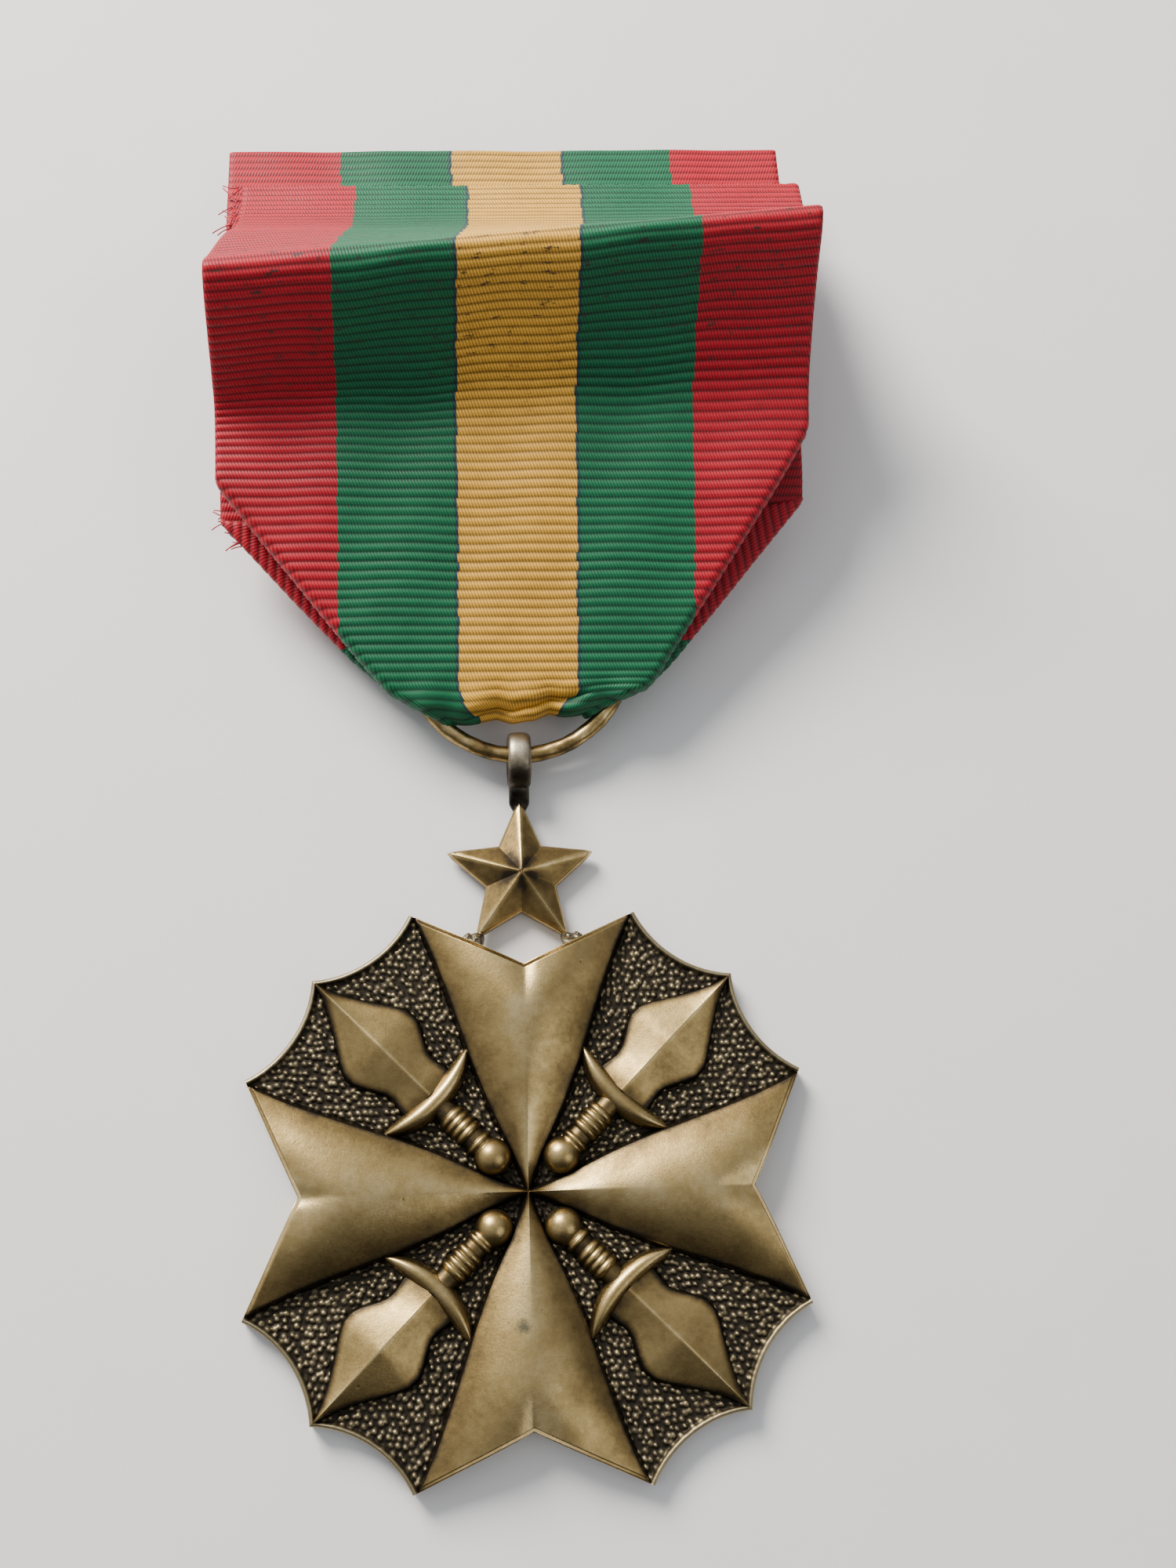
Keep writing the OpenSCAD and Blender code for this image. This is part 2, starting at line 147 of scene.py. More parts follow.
class Shape:
    """Points, faces and patina of one mesh, gathered from several grids."""

    def __init__(self):
        self.points, self.faces, self.patina, self.count = [], [], [], 0

    def add(self, points, faces, patina):
        self.faces += [[v + self.count for v in f] for f in faces]
        self.points.append(points)
        self.patina.append(np.broadcast_to(patina, len(points)))
        self.count += len(points)

    def piece(self, name, body, material, slot, nodes, origin=(0, 0, 0)):
        points = np.concatenate(self.points) + np.array(origin)
        mesh = bpy.data.meshes.new(name)
        mesh.from_pydata((points * MM).tolist(), [], self.faces)
        mesh.polygons.foreach_set("use_smooth", [True] * len(mesh.polygons))
        patina = mesh.attributes.new("patina", "FLOAT", "POINT")
        patina.data.foreach_set("value", np.concatenate(self.patina).astype(np.float32))
        mesh.materials.append(material)
        mesh.update()
        obj = bpy.data.objects.new(name, mesh)
        bpy.context.scene.collection.objects.link(obj)
        if body:
            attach(obj, body)
        if nodes:
            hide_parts(*nodes)
        return obj


def tube(centres, radii, sides, patina, tangent_up=(0, 0, 1)):
    """Ring-by-ring tube along a line of points, closed with a fan at each end."""
    centres, radii = np.asarray(centres, float), np.broadcast_to(radii, len(centres))
    along = np.gradient(centres, axis=0)
    along /= np.linalg.norm(along, axis=1)[:, None]
    side = np.cross(along, np.array(tangent_up, float))
    side /= np.linalg.norm(side, axis=1)[:, None]
    up = np.cross(side, along)
    a = around(sides)
    rings = (centres[:, None] + radii[:, None, None] * (np.cos(a)[None, :, None] * side[:, None]
             + np.sin(a)[None, :, None] * up[:, None]))
    points = np.concatenate([rings.reshape(-1, 3), centres[:1], centres[-1:]])
    last = len(centres) * sides
    faces = grid_faces(len(centres), sides, wrap=True)
    faces += fan(0, sides, last) + fan(last - sides, sides, last + 1, flip=True)
    return points, faces, patina


# ---- Materials ----
class Shader:
    """Short names for the node types that the materials share."""

    def __init__(self, name):
        self.material = bpy.data.materials.new(name)
        self.material.use_nodes = True
        self.tree = self.material.node_tree
        self.surface = self.tree.nodes["Principled BSDF"]
        self.place = self.tree.nodes.new("ShaderNodeTexCoord").outputs["Object"]

    def put(self, socket, value):
        if isinstance(value, bpy.types.NodeSocket):
            self.tree.links.new(value, socket)
        else:
            socket.default_value = value

    def noise(self, scale, detail=4, rough=0.55, vector=None):
        node = self.tree.nodes.new("ShaderNodeTexNoise")
        self.put(node.inputs["Vector"], vector or self.place)
        node.inputs["Scale"].default_value = scale
        node.inputs["Detail"].default_value = detail
        node.inputs["Roughness"].default_value = rough
        return node.outputs["Fac"]

    def cells(self, scale):
        node = self.tree.nodes.new("ShaderNodeTexVoronoi")
        self.put(node.inputs["Vector"], self.place)
        node.inputs["Scale"].default_value = scale
        return node.outputs["Distance"]

    def math(self, operation, a, b=0.0):
        node = self.tree.nodes.new("ShaderNodeMath")
        node.operation = operation
        for socket, value in zip(node.inputs, (a, b)):
            self.put(socket, value)
        return node.outputs["Value"]

    def span(self, value, low, high, out_low=0.0, out_high=1.0):
        node = self.tree.nodes.new("ShaderNodeMapRange")
        self.put(node.inputs["Value"], value)
        for socket, number in zip(list(node.inputs)[1:5], (low, high, out_low, out_high)):
            socket.default_value = number
        return node.outputs["Result"]

    def ramp(self, value, stops):
        node = self.tree.nodes.new("ShaderNodeValToRGB")
        self.put(node.inputs["Fac"], value)
        ends = node.color_ramp.elements
        while len(ends) < len(stops):
            ends.new(0.5)
        for end, (at, colour) in zip(ends, stops):
            end.position, end.color = at, (*colour, 1)
        return node.outputs["Color"]

    def mix(self, fac, a, b, blend="MIX"):
        node = self.tree.nodes.new("ShaderNodeMix")
        node.data_type, node.blend_type = "RGBA", blend
        self.put(node.inputs[0], fac)
        for socket, colour in zip((node.inputs[6], node.inputs[7]), (a, b)):
            self.put(socket, (*colour, 1) if isinstance(colour, tuple) else colour)
        return node.outputs[2]

    def attribute(self, name):
        node = self.tree.nodes.new("ShaderNodeAttribute")
        node.attribute_name = name
        return node.outputs["Fac"]

    def bump(self, height, strength, distance):
        node = self.tree.nodes.new("ShaderNodeBump")
        node.inputs["Strength"].default_value = strength
        node.inputs["Distance"].default_value = distance
        self.put(node.inputs["Height"], height)
        return node.outputs["Normal"]

    def finish(self, colour, roughness, metallic, normal=None, **fixed):
        self.put(self.surface.inputs["Base Color"], colour)
        self.put(self.surface.inputs["Roughness"], roughness)
        self.surface.inputs["Metallic"].default_value = metallic
        if normal:
            self.put(self.surface.inputs["Normal"], normal)
        for name, value in fixed.items():
            self.surface.inputs[name.replace("_", " ")].default_value = value
        return self.material


RECESS = (0.008, 0.007, 0.006)
SHADE = (0.045, 0.034, 0.021)
MID = (0.19, 0.128, 0.048)
BRASS = (0.37, 0.262, 0.104)
BRIGHT = (0.66, 0.50, 0.25)


BRASS_TONES = (RECESS, SHADE, MID, BRASS, BRIGHT)
PATINA_STOPS = (0.0, 0.28, 0.5, 0.72, 1.0)
PIT_DEPTH = 0.3


def aged_metal(name, shift=0.0, stain=0.15, gloss=0.0, tones=BRASS_TONES, spot=None):
    """Brass with dark patina in its recesses, worn bright on its high places.

    shift: how much more worn. stain: how uneven. gloss: how much smoother. spot: corroded place.
    """
    s = Shader(name)
    blotch = s.noise(420, 6, 0.65)
    grain = s.noise(2600, 6, 0.65)
    fine = s.noise(9000, 3, 0.6)
    uneven = s.span(blotch, 0.3, 0.7, -stain / 2 + shift, stain / 2 + shift)
    wear = s.math("ADD", s.attribute("patina"), uneven)
    wear = s.math("ADD", wear, s.span(grain, 0.3, 0.7, -0.05, 0.05))
    pits = s.span(s.cells(1100), 0.0, 0.16, 1.0, 0.0)
    rare = s.span(s.noise(700, 2), 0.6, 0.68, 0.0, 1.0)
    pits = s.math("MULTIPLY", pits, rare)
    wear = s.math("SUBTRACT", wear, s.math("MULTIPLY", pits, PIT_DEPTH))
    colour = s.ramp(wear, list(zip(PATINA_STOPS, tones)))
    if spot:
        far = s.tree.nodes.new("ShaderNodeVectorMath")
        far.operation = "DISTANCE"
        s.put(far.inputs[0], s.place)
        far.inputs[1].default_value = tuple(MM * number for number in spot)
        ragged = s.math("ADD", far.outputs["Value"], s.span(grain, 0.3, 0.7, -0.00015, 0.00015))
        colour = s.mix(s.span(ragged, 0.00022, 0.0006, 0.7, 0.0), colour, (0.02, 0.045, 0.04))
    roughness = s.math("ADD", s.span(wear, 0.1, 0.9, 0.6 - gloss, 0.36 - gloss),
                       s.span(fine, 0.3, 0.7, -0.06, 0.06))
    height = s.math("ADD", s.math("MULTIPLY", grain, 0.6), s.math("MULTIPLY", fine, 0.35))
    height = s.math("SUBTRACT", height, s.math("MULTIPLY", pits, 1.2))
    return s.finish(colour, roughness, 1.0, s.bump(height, 0.35, 0.00004))


# Corrosion spot in the middle of the bottom arm
SPOT = (-0.5, BADGE_Y - 8.0, 2.8)
GROUND_TONES = ((0.02, 0.017, 0.013), (0.058, 0.046, 0.03), (0.17, 0.135, 0.075),
                (0.32, 0.26, 0.15), (0.5, 0.43, 0.29))
WORN_TONES = ((0.012, 0.011, 0.01), (0.075, 0.062, 0.045), (0.24, 0.2, 0.135),
              (0.44, 0.39, 0.29), (0.74, 0.7, 0.6))
brass_ground = aged_metal("antique_ground", tones=GROUND_TONES)
brass_cross = aged_metal("antique_cross", shift=0.05, stain=0.24, gloss=0.11, spot=SPOT)
brass_swords = aged_metal("antique_swords", shift=0.03, stain=0.22, gloss=0.09)
brass_star = aged_metal("antique_star", stain=0.34, gloss=0.08)
eyelet_metal = aged_metal("worn_eyelet", gloss=0.06, stain=0.45, tones=WORN_TONES)
ring_metal = aged_metal("ring_wire", gloss=0.08, stain=0.7)
solder_metal = aged_metal("solder", shift=-0.1, gloss=0.12, stain=0.5, tones=WORN_TONES)


# ---- Badge: grained ground ----
def outline_radius(angle):
    """Distance from the badge's centre to its outline, for angles from the +Y axis."""
    near = np.abs((angle + math.pi / 4) % (math.pi / 2) - math.pi / 4)
    notch_side = NOTCH_R / (np.cos(near) - V_SLOPE * np.sin(near))
    off = near - 1.5 * TIP_STEP
    scallop = SCALLOP_C * np.cos(off) - np.sqrt(SCALLOP_R ** 2 - (SCALLOP_C * np.sin(off)) ** 2)
    return np.where(near <= TIP_STEP, notch_side, scallop)


GRAIN_PITCH = 0.44


def grains(x, y):
    """Height 0 to 1 of the punched grains at each point, with each grain's own brightness."""
    pitch = GRAIN_PITCH
    cells = int(2 * TIP_R / pitch) + 8
    shift = rng.uniform(-0.3, 0.3, (cells, cells, 2))
    size = rng.uniform(0.38, 0.56, (cells, cells))
    tall = rng.uniform(0.55, 1.0, (cells, cells))
    row = np.floor(y / pitch).astype(int)
    best, light = np.zeros_like(x), np.zeros_like(x)
    for down in (-1, 0, 1):
        line = row + down
        lean = 0.5 * (line % 2)
        column = np.floor(x / pitch - lean).astype(int)
        for over in (-1, 0, 1):
            i, j = (line + cells // 2) % cells, (column + over + cells // 2) % cells
            seed_x = (column + over + 0.5 + lean + shift[i, j, 0]) * pitch
            seed_y = (line + 0.5 + shift[i, j, 1]) * pitch
            reach = size[i, j] * pitch
            d = np.hypot(x - seed_x, y - seed_y) / reach
            dome = np.clip(1 - d * d, 0, 1) ** 0.75 * tall[i, j]
            light = np.where(dome > best, tall[i, j], light)
            best = np.maximum(best, dome)
    return best, light


FIELD_Z = GROUND_T - 0.14
GRAIN_H, RIM_H, EDGE_ROUND = 0.2, 0.42, 0.16


def build_ground():
    """Grained field inside a raised rim, with the plate's side wall and back."""
    columns, rows = 1600, 206
    angle = around(columns)
    reach = outline_radius(angle)
    t = np.linspace(0, 1, rows)[1:]
    x, y = t[:, None] * reach * np.sin(angle), t[:, None] * reach * np.cos(angle)
    best = np.full(x.shape, 99.0)
    for i in range(8):
        at = TIP_STEP * 1.5 + (i // 2) * math.pi / 2 + (i % 2) * TIP_STEP
        centre = SCALLOP_C * math.sin(at), SCALLOP_C * math.cos(at)
        best = np.minimum(best, np.hypot(x - centre[0], y - centre[1]) - SCALLOP_R)
    rim = 1 - smooth(0.22, 0.42, best)
    bead, light = grains(x, y)
    round_off = EDGE_ROUND * np.clip(1 - best / EDGE_ROUND, 0, 1) ** 2
    z = FIELD_Z + bead * GRAIN_H * (1 - rim) + rim * RIM_H - round_off
    bead = bead * smooth(1.6, 3.4, np.hypot(x, y))
    patina = 0.06 + 0.56 * smooth(0.12, 0.85, bead / np.maximum(light, 0.1)) * light * (1 - rim)
    patina = patina * (1 - rim) + rim * 0.66
    shape = Shape()
    points = xyz(x, y, z)
    shape.add(np.concatenate([points, [[0, 0, FIELD_Z]]]),
              grid_faces(rows - 1, columns, wrap=True, flip=True) + fan(0, columns, len(points)),
              np.append(patina.ravel(), 0.03))
    # Height, inset and patina of the wall's rings, from the rim down and in under the back
    top = z[-1]
    levels = [(top, 0.0, 0.6), (top * 0.8, 0.0, 0.45), (top * 0.4, 0.0, 0.4), (0.16, 0.0, 0.5),
              (0.05, 0.05, 0.6), (0.0, 0.17, 0.62), (0.0, 4.0, 0.6), (0.0, 9.0, 0.6)]
    wall = [xyz((reach - inset) * np.sin(angle), (reach - inset) * np.cos(angle), level)
            for level, inset, _ in levels]
    last = len(levels) * columns
    shape.add(np.concatenate(wall + [np.zeros((1, 3))]),
              grid_faces(len(levels), columns, wrap=True, flip=True)
              + fan(last - columns, columns, last),
              np.append(np.repeat([worn for _, _, worn in levels], columns), 0.6))
    return shape.piece("grained_ground", "pendant", brass_ground, "antique_ground",
                       ["ground_plate"], (0, BADGE_Y, 0))


# ---- Badge: cross ----
ARM_WIDTH = [(0, 0.3), (0.5, 0.42), (1, 0.62), (2, 1.05), (3, 1.5), (5, 2.5), (7.5, 3.5), (10, 4.35),
             (12.5, 5.2), (15, 6.12), (16.5, 6.8), (TIP_Y, TIP_X)]
ARM_HEIGHT = [(0, 0.62), (2, 0.8), (5, 1.3), (8, 1.75), (11, 2.0), (14, 1.95), (TIP_Y, 1.25)]
ARM_CROWN = [(0, 0.95), (4, 1.15), (8, 1.55), (12, 1.9), (TIP_Y, 2.0)]


ARM_SOLVES = 40


def build_cross():
    """Pillow-shaped arm with a notched end and a skirt down its outer edge, four times."""
    across, along = 151, 191
    s = np.sin(np.linspace(-1, 1, across) * math.pi / 2)
    t = np.sin(np.linspace(0, 1, along) * math.pi / 2)[:, None]
    end = np.full(across, NOTCH_R)
    # The V-shaped end and the width depend on each other
    for _ in range(ARM_SOLVES):
        end = NOTCH_R + V_SLOPE * np.abs(s) * profile(ARM_WIDTH, end, SOFT)
    y = t * end
    width = profile(ARM_WIDTH, y, SOFT)
    x = s * width
    to_side = (1 - np.abs(s)) * width * 0.93
    to_end = np.maximum(NOTCH_R + V_SLOPE * np.abs(x) - y, 0) * 0.905
    high = profile(ARM_HEIGHT, y, SOFT)
    wall_h = 0.5 * smooth(-2, 6, y)
    z = GROUND_T - 0.2 + (wall_h + 0.2) * smooth(0, 0.34, to_side)
    z += (high - wall_h) * (1 - np.abs(s) ** profile(ARM_CROWN, y, SOFT))
    z -= 0.24 * (1 - smooth(0, 0.3, to_end))
    z -= 0.3 * (1 - smooth(0, 2.6, to_end)) * smooth(3.5, 0, np.abs(x))
    z -= 0.16 * np.exp(-(x / 0.55) ** 2) * np.exp(-to_end / 1.5)
    patina = 0.08 + 0.32 * smooth(0.1, 0.6, to_side) + 0.2 * smooth(0.3, 2.2, to_side)
    # Brighter down the crest from wear, and brighter along the V-shaped end: partly a rubbed edge,
    # partly a painted highlight on its bevel
    patina += 0.14 * smooth(0.6, 0.0, np.abs(s)) + 0.12 * smooth(0.5, 0.0, to_end)
    patina += 0.2 * smooth(6, 1, y) * smooth(0.45, 0.1, np.abs(s))
    # Height and patina of the skirt's rows
    skirt = [(1.4, 0.5), (0.8, 0.42), (0.16, 0.45)]
    xs = np.concatenate([x] + [x[-1:]] * len(skirt))
    ys = np.concatenate([y] + [y[-1:] + 0.012] * len(skirt))
    zs = np.concatenate([z] + [np.minimum(level, z[-1:]) for level, _ in skirt])
    ps = np.concatenate([patina] + [np.full((1, across), worn) for _, worn in skirt])
    points, faces = xyz(xs, ys, zs), grid_faces(along + len(skirt), across)
    shape = Shape()
    for quarter in range(4):
        shape.add(turned(points, quarter * math.pi / 2), faces, ps.ravel())
    return shape.piece("cross_arms", "pendant", brass_cross, "antique_cross",
                       ["maltese_cross"], (0, BADGE_Y, 0))


# ---- Badge: swords ----
# Half width of the blade along its length, from guard to point
BLADE = [(8.4, 2.15), (8.9, 2.15), (9.5, 2.0), (10, 1.92), (10.5, 2.0), (11, 2.25), (11.8, 2.7),
         (12.5, 3.0), (13.3, 2.95), (14, 2.6), (15, 1.95), (15.5, 1.62), (16.5, 1.02), (17.5, 0.52),
         (18.75, 0.1)]


BLADE_RIDGE = [(8.5, 0.95), (12.9, 1.2), (16, 0.85), (18.8, 0.5)]
BLADE_EDGE_H = 0.3
# Level under the field where the swords' feet start
SUNK_Z = GROUND_T - 0.15


def blade_grid():
    """Leaf-shaped blade with a ridge down its middle."""
    across, along = 61, 120
    s = np.linspace(-1, 1, across) * np.ones((along, 1))
    y = np.linspace(8.5, 18.72, along)[:, None] * np.ones((1, across))
    width = profile(BLADE, y)
    x = s * width
    to_side = (1 - np.abs(s)) * width
    z = SUNK_Z + (BLADE_EDGE_H + 0.15) * smooth(0, 0.2, to_side)
    z += (profile(BLADE_RIDGE, y) - BLADE_EDGE_H) * (1 - np.abs(s))
    patina = 0.1 + 0.5 * smooth(0.05, 0.7, to_side)
    patina += 0.22 * np.exp(-(x / 0.1) ** 2) - 0.22 * smooth(9.6, 8.6, y)
    return xyz(x, y, z), grid_faces(along, across), patina.ravel()


GUARD_REACH = 3.8


def guard_grid():
    """Crescent between a hollow upper edge and a bulging lower one, half round above the ground."""
    along, across = 91, 25
    u = np.sin(np.linspace(-1, 1, along) * math.pi / 2)[:, None] * np.ones((1, across))
    full = np.sqrt(np.maximum(1 - np.abs(u) ** 6, 0))
    x = GUARD_REACH * u
    upper = 8.8 + 0.42 * u ** 2
    lower = 7.2 + 1.4 * np.abs(u) ** 2.2
    centre, half = (upper + lower) / 2, (upper - lower) / 2
    half = np.maximum(half, 0.36) * full
    q = np.sin(np.linspace(-1, 1, across)[None, :] * math.pi / 2)
    y = centre + half * q
    round_h = np.sqrt(np.maximum(1 - q ** 2, 0))
    z = SUNK_Z + (0.35 + 0.85 * (half / 0.75)) * round_h
    patina = 0.14 + 0.58 * smooth(0.1, 0.75, round_h) * np.ones_like(x)
    return xyz(x, y, z), grid_faces(along, across, flip=True), patina.ravel()


GRIP_RINGS = (5.2, 5.66, 6.12, 6.58)
COLLAR_Y, BALL_Y, BALL_R = 4.28, 3.06, 1.2


def hilt_grid():
    """Grip with its rings and collar, and the ball pommel."""
    along, across = 150, 33
    y = np.linspace(1.86, 7.6, along)
    radius = 0.8 + 0.02 * np.cos(y * 3)
    for at in GRIP_RINGS:
        radius = np.maximum(radius, 0.97 - 1.6 * np.abs(y - at) ** 1.8)
    radius = np.maximum(radius, 0.95 - 3 * (y - COLLAR_Y) ** 2)
    ball = np.sqrt(np.maximum(BALL_R ** 2 - (y - BALL_Y) ** 2, 0))
    radius = np.where(y < 3.9, np.maximum(ball, np.where(y > 3.2, 0.62, 0)), radius)
    clean = 1 - smooth(0.97, 0.78, radius) * (y > 4.2)
    phi = np.linspace(-0.35, math.pi + 0.35, across)
    x = radius[:, None] * np.cos(phi)
    z = GROUND_T + 0.12 + radius[:, None] * 0.98 * np.sin(phi)
    patina = 0.1 + 0.58 * smooth(0.05, 0.8, np.sin(phi))[None, :] * (0.4 + 0.6 * clean[:, None])
    return xyz(x, y[:, None], z), grid_faces(along, across, flip=True), patina.ravel()


SWORD_TURNS = {"sword_upper_right": -45, "sword_upper_left": 45, "sword_lower_left": 135,
               "sword_lower_right": -135}


def build_swords():
    for node, degrees in SWORD_TURNS.items():
        shape = Shape()
        for points, faces, patina in (blade_grid(), guard_grid(), hilt_grid()):
            shape.add(turned(points, math.radians(degrees)), faces, patina)
        shape.piece("relief_" + node, "pendant", brass_swords, "antique_swords", [node],
                    (0, BADGE_Y, 0))


# ---- Star, solder, eyelet and ring ----
STAR_STEP = math.radians(72)


def build_star():
    """Five-pointed star with ridges to its points, a side wall and a flat back."""
    columns, rows = 720, 46
    angle = around(columns)
    inner = STAR_STEP / 2
    off = np.abs((angle + inner) % STAR_STEP - inner)
    reach = STAR_R * STAR_INNER_R * math.sin(inner) / (
        STAR_R * np.sin(off) + STAR_INNER_R * np.sin(inner - off))
    reach *= 1 - 0.035 * np.exp(-(off / 0.035) ** 2)
    t = np.linspace(0, 1, rows)[1:, None]
    top = STAR_EDGE + (STAR_PEAK - STAR_EDGE) * (1 - t) * np.ones((1, columns))
    top -= 0.14 * smooth(0.93, 1.0, t) ** 2 + 0.07 * np.exp(-(t / 0.05) ** 2)
    x, y = t * reach * np.sin(angle), t * reach * np.cos(angle)
    ridge = np.exp(-(t * reach * off / 0.16) ** 2)
    valley = np.exp(-((inner - off) * t * reach / 0.5) ** 2) * smooth(1.0, 0.2, t)
    patina = 0.5 + 0.28 * ridge - 0.36 * valley + 0.2 * smooth(0.85, 0.98, t)
    levels = [(STAR_EDGE - 0.2, 0.0), (0.8, 0.0), (STAR_BACK + 0.1, 0.0), (STAR_BACK, 0.1),
              (STAR_BACK, 0.8)]
    rim = [xyz((1 - inset / STAR_R) * reach * np.sin(angle),
               (1 - inset / STAR_R) * reach * np.cos(angle), level) for level, inset in levels]
    ends = np.array([[0, 0, STAR_PEAK - 0.07], [0, 0, STAR_BACK]])
    points = np.concatenate([xyz(x, y, top)] + rim + [ends])
    count = rows - 1 + len(levels)
    last = count * columns
    faces = grid_faces(count, columns, wrap=True, flip=True)
    faces += fan(0, columns, last) + fan(last - columns, columns, last + 1, flip=True)
    worn = np.concatenate([patina.ravel(), np.full(columns * len(levels), 0.5), [0.8, 0.5]])
    shape = Shape()
    shape.add(points, faces, worn)
    return shape.piece("domed_star", "pendant", brass_star, "antique_star",
                       ["star"], (0, STAR_Y, 0))


def blob(centre, radii, seed):
    """Uneven drop of solder: a sphere grid with low waves on it."""
    rows, columns = 22, 32
    up = np.linspace(0.02, math.pi - 0.02, rows)[:, None]
    turn = around(columns)[None, :]
    wave = 1 + 0.12 * np.sin(3 * turn + seed) * np.sin(up)
    wave += 0.08 * np.sin(5 * up + 2 * turn + seed)
    points = xyz(np.sin(up) * np.cos(turn) * wave * radii[0],
                 np.sin(up) * np.sin(turn) * wave * radii[1],
                 np.cos(up) * wave * radii[2]) + np.array(centre)
    return points, grid_faces(rows, columns, wrap=True), 0.62


def build_solder():
    """A large and a small drop at each of the star's two feet."""
    shape = Shape()
    foot_x, foot_y = STAR_R * math.sin(STAR_STEP / 2), -STAR_R * math.cos(STAR_STEP / 2)
    drops = [(0.04, -0.18, 1.6, (0.66, 0.5, 0.62), 1.3), (0.5, -0.02, 1.95, (0.3, 0.27, 0.32), 2.1)]
    for side in (-1, 1):
        for out, up, high, radii, seed in drops:
            shape.add(*blob((side * (foot_x + out), foot_y + up, high), radii, side * seed))
    return shape.piece("solder_drops", "pendant", solder_metal, "solder", ["star_solder"],
                       (0, STAR_Y, 0))


SQUARENESS = 3.2


def build_eyelet():
    """Loop with its hole across the ring, on a foot pinched where it meets the star's point."""
    long_way, across, foot_rows = 120, 30, 26
    a, b = around(long_way)[:, None], around(across)[None, :]
    mid = (EYELET_R + EYELET_HOLE) / 2
    half = (EYELET_R - EYELET_HOLE) / 2
    square = (np.abs(np.cos(b)) ** SQUARENESS + np.abs(np.sin(b)) ** SQUARENESS) ** (-1 / SQUARENESS)
    x = EYELET_W / 2 * square * np.cos(b)
    radius = mid + half * square * np.sin(b)
    y, z = radius * np.cos(a), radius * np.sin(a)
    patina = 0.5 + 0.34 * smooth(-0.2, 1.0, np.sin(b)) * smooth(-0.9, 0.7, np.cos(a))
    patina = patina * (0.5 + 0.5 * smooth(-1.0, -0.1, np.cos(a)))
    shape = Shape()
    shape.add(xyz(x, y, HINGE_Z + z), ring_faces(long_way, across), patina.ravel())
    rows = np.linspace(-1.45, -3.35, foot_rows)[:, None]
    taper = smooth(-2.95, -1.8, rows)
    width = 0.36 + 0.3 * smooth(-3.35, -2.6, rows)
    foot_x = width * square * np.cos(b)
    half_h = 0.36 + 0.36 * taper
    foot_z = STAR_BACK + half_h + half_h * square * np.sin(b)
    dark = 0.1 + 0.35 * smooth(-2.3, -1.5, rows) + 0.1 * smooth(-3.0, -3.3, rows)
    shape.add(xyz(foot_x, rows, foot_z), grid_faces(foot_rows, across, wrap=True, flip=True),
              (dark * np.ones_like(foot_x)).ravel())
    return shape.piece("eyelet_loop", "pendant", eyelet_metal, "worn_eyelet", ["eyelet"],
                       (0, EYELET_Y, 0))


def build_ring():
    """Slightly dented and uneven wire ring, leaning with the ribbon's loop."""
    long_way, sides = 360, 28
    a, b = around(long_way)[:, None], around(sides)[None, :]
    dent = 0.012 * np.sin(7 * a + 1) + 0.01 * np.sin(17 * a + 3 * b) + 0.008 * np.sin(41 * a - 2 * b)
    wire = WIRE_R - 0.02 + dent
    radius = RING_R + 0.03 * np.sin(2 * a) + wire * np.cos(b)
    u, v, w = radius * np.sin(a), RING_R - radius * np.cos(a), wire * np.sin(b)
    y = v * math.cos(RING_SLOPE) - w * math.sin(RING_SLOPE)
    z = v * math.sin(RING_SLOPE) + w * math.cos(RING_SLOPE)
    worn = 0.52 + 0.22 * np.sin(b - 0.3) * np.ones_like(a) + 0.08 * np.sin(23 * a)
    shape = Shape()
    shape.add(xyz(u, y, z), ring_faces(long_way, sides), worn.ravel())
    return shape.piece("wire_ring", "ring", ring_metal, "ring_wire", ["suspension_ring"],
                       (0, WIRE_Y, HINGE_Z))


# ---- Ribbon: one strip, folded round the ring and over the crown ----
# Side view of each half above the flex line: distance up from it, and height
FRONT_LINE = [(3.8, 8.75), (6.4, 10.85), (8.6, 13.4), (10.2, 15.45), (11.25, 16.32), (12.0, 16.1),
              (13.0, 14.4), (15.0, 11.3), (17.1, 8.35), (19.5, 6.3), (22.2, 4.98)]
BACK_LINE = [(0.9, 5.43), (3.5, 5.55), (8.0, 5.55), (12.25, 5.55), (15, 5.2), (18, 4.7), (21.8, 4.1),
             (26.0, 3.25)]
DRAPE_V = 17.2
ROW_STEP, COLUMN_STEP = 0.1, 0.2
UV_SPAN = 100.0
STRIPE = 7.7


def on_ring_plane(v, w):
    """Row Y and Z of points given along and above the ring's plane."""
    c, s = math.cos(RING_SLOPE), math.sin(RING_SLOPE)
    return WIRE_Y + v * c - w * s, HINGE_Z + v * s + w * c


def strip_line(upper, points):
    """Middle line of one half of the strip, from the bottom of the loop, evenly spaced."""
    sign = 1 if upper else -1
    phi = np.linspace(0, math.pi / 2, 24)
    v = np.concatenate([LOOP_V - DRAPE_W * np.cos(phi), np.linspace(LOOP_V, DRAPE_V, 40)[1:]])
    w = np.concatenate([DRAPE_W * np.sin(phi), np.full(39, DRAPE_W)]) * sign
    y, z = on_ring_plane(v, w)
    drape = np.stack([y, z], 1)
    keys = np.array([drape[-6], drape[-1]] + [(FLEX_Y + along, high) for along, high in points])
    keys = np.concatenate([keys, [2 * keys[-1] - keys[-2]]])
    curve = []
    for a, b, c, d in zip(keys[:-3], keys[1:-2], keys[2:-1], keys[3:]):
        t = np.linspace(0, 1, 40, endpoint=False)[:, None]
        curve.append(0.5 * (2 * b + (c - a) * t + (2 * a - 5 * b + 4 * c - d) * t ** 2
                            + (3 * b - a - 3 * c + d) * t ** 3))
    return np.concatenate([drape[:-1]] + curve + [keys[-2:-1]])


